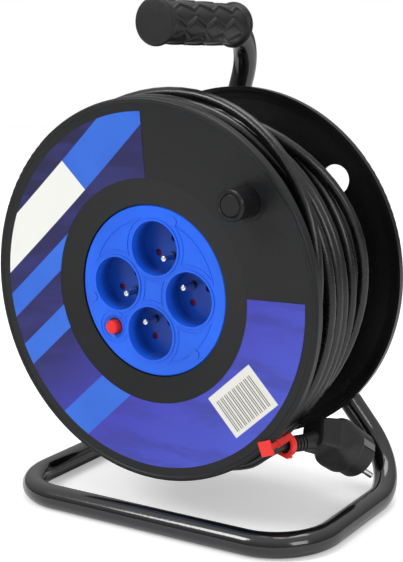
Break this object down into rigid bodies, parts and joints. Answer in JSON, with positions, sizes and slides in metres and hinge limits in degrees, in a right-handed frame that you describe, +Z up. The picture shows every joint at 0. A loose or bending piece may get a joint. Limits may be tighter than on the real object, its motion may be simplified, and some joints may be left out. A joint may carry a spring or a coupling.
{
  "type": "extension cord reel",
  "caption": "Cable reel on a bent tube frame: a drum wound with rubber cable turns on an axle, with four earthed outlets, a crank knob and a clipped plug.",
  "frame": {"origin": "on the floor, under the middle of the reel's box without its plug and loose cable", "axes": "+Z up, -Y towards the side with the outlets, +X to the right as seen from that side; the drum's axle is parallel to Y"},
  "size_m": [0.2916, 0.1972, 0.398],
  "materials": {
    "frame": "gloss black stove enamel",
    "grip": "moulded, satin, ribbed",
    "zinc": "zinc plated",
    "flange": "moulded, fine satin",
    "rear_flange": "moulded, semi gloss",
    "bush": "plain acetal",
    "outlet_blue": "moulded, semi gloss",
    "nickel": "nickel plated",
    "carrier": "plain thermoset",
    "brass": "stamped",
    "black_plastic": "moulded",
    "red_plastic": "moulded",
    "shutter": "moulded",
    "knob": "moulded, semi gloss",
    "label": "printed film",
    "cable": "rubber sheath",
    "plug_rubber": "moulded rubber"
  },
  "bodies": {
    "frame": {"frame_tube": "frame", "hand_grip": "grip", "hub_plate": "frame", "axle_bolt": "zinc", "axle_nut": "zinc", "axle_sleeve": "zinc", "thrust_washers": "zinc"},
    "drum": {"front_flange": "flange", "rear_flange": "rear_flange", "hub_bush": "bush", "barrel_screws": "zinc", "socket_plate": "outlet_blue", "plate_screws": "zinc", "screw_caps": "outlet_blue", "earth_pins": "nickel", "contact_carrier": "carrier", "live_contacts": "brass", "neutral_contacts": "brass", "earth_strap": "brass", "thermal_cutout": "black_plastic", "crank_peg": "black_plastic", "peg_screw": "zinc", "label": "label", "cable_clip": "red_plastic", "cable_clamp": "black_plastic", "clamp_screws": "zinc", "cable_inner_end": "cable", "cable_core": "cable", "cable_outer_wind": "cable", "cable_tail": "cable", "strain_relief": "plug_rubber", "plug_body": "plug_rubber", "plug_pins": "nickel", "plug_earth_contacts": "nickel"},
    "knob": {"crank_knob": "knob"},
    "reset": {"reset_button": "red_plastic"},
    "shutter_top": {"shutter_top": "shutter"},
    "shutter_left": {"shutter_left": "shutter"},
    "shutter_bottom": {"shutter_bottom": "shutter"},
    "shutter_right": {"shutter_right": "shutter"}
  },
  "joints": [
    {"name": "drum_spin", "type": "hinge", "parent": "frame", "child": "drum", "pos_m": [0, -0.00745, 0.182], "axis": [0, -1, 0], "continuous": true},
    {"name": "knob_spin", "type": "hinge", "parent": "drum", "child": "knob", "pos_m": [0.08874, -0.08545, 0.25515], "axis": [0, -1, 0], "continuous": true},
    {"name": "reset_press", "type": "slide", "parent": "drum", "child": "reset", "axis": [0, 1, 0], "range_m": [0, 0.0025], "stiffness_N_per_m": 400, "springref_m": -0.001},
    {"name": "shutter_top_slide", "type": "slide", "parent": "drum", "child": "shutter_top", "axis": [-0.6361, 0, 0.7716], "range_m": [0, 0.006], "stiffness_N_per_m": 100, "springref_m": -0.002},
    {"name": "shutter_left_slide", "type": "slide", "parent": "drum", "child": "shutter_left", "axis": [-0.6361, 0, 0.7716], "range_m": [0, 0.006], "stiffness_N_per_m": 100, "springref_m": -0.002},
    {"name": "shutter_bottom_slide", "type": "slide", "parent": "drum", "child": "shutter_bottom", "axis": [0.6361, 0, -0.7716], "range_m": [0, 0.006], "stiffness_N_per_m": 100, "springref_m": -0.002},
    {"name": "shutter_right_slide", "type": "slide", "parent": "drum", "child": "shutter_right", "axis": [0.6361, 0, -0.7716], "range_m": [0, 0.006], "stiffness_N_per_m": 100, "springref_m": -0.002}
  ]
}
